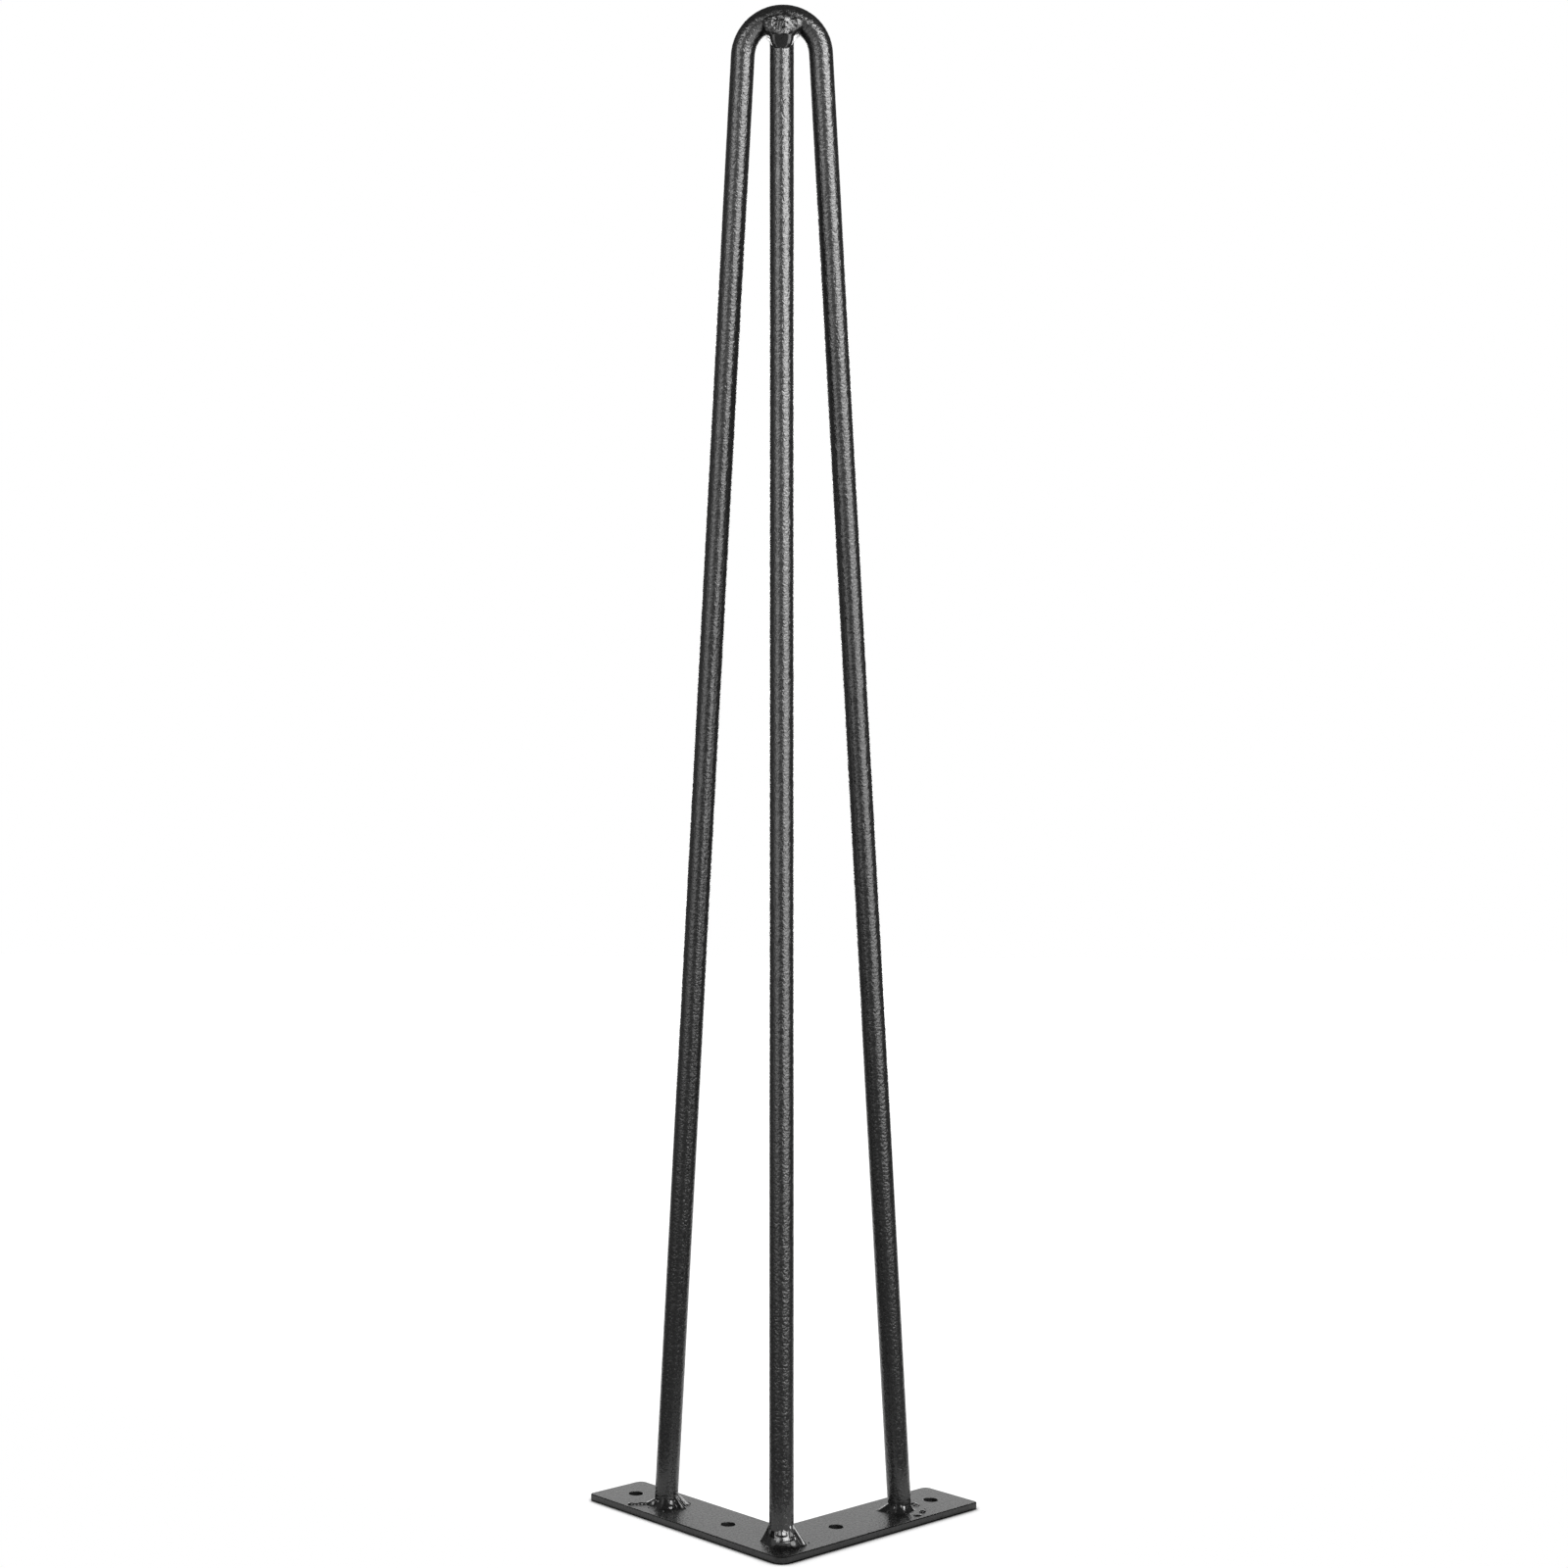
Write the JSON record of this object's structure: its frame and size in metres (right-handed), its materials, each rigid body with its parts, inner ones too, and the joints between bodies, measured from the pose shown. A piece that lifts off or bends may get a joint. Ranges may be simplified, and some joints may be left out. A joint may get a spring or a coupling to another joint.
{
  "type": "hairpin table leg",
  "caption": "Hairpin table leg: a bent rod and a straight brace rod welded to a flat L-shaped plate with screw holes, all in black powder coat.",
  "frame": {"origin": "middle of the overall box, on the face of the plate that screws to the table top", "axes": "+Z from that face to the bend, which stands on the floor in use; +Y from the plate's outer corner to its open side"},
  "size_m": [0.1996, 0.1217, 0.7619],
  "materials": {
    "plate_coat": "fine-grained satin black powder coat on flat steel",
    "rod_coat": "fine-grained satin black powder coat on round steel rod",
    "weld_coat": "black powder coat over rippled weld metal, glossier on the crests"
  },
  "bodies": {
    "root": {"mounting_plate": "plate_coat", "hairpin_rod": "rod_coat", "corner_rod": "rod_coat", "weld_beads": "weld_coat"}
  },
  "joints": []
}
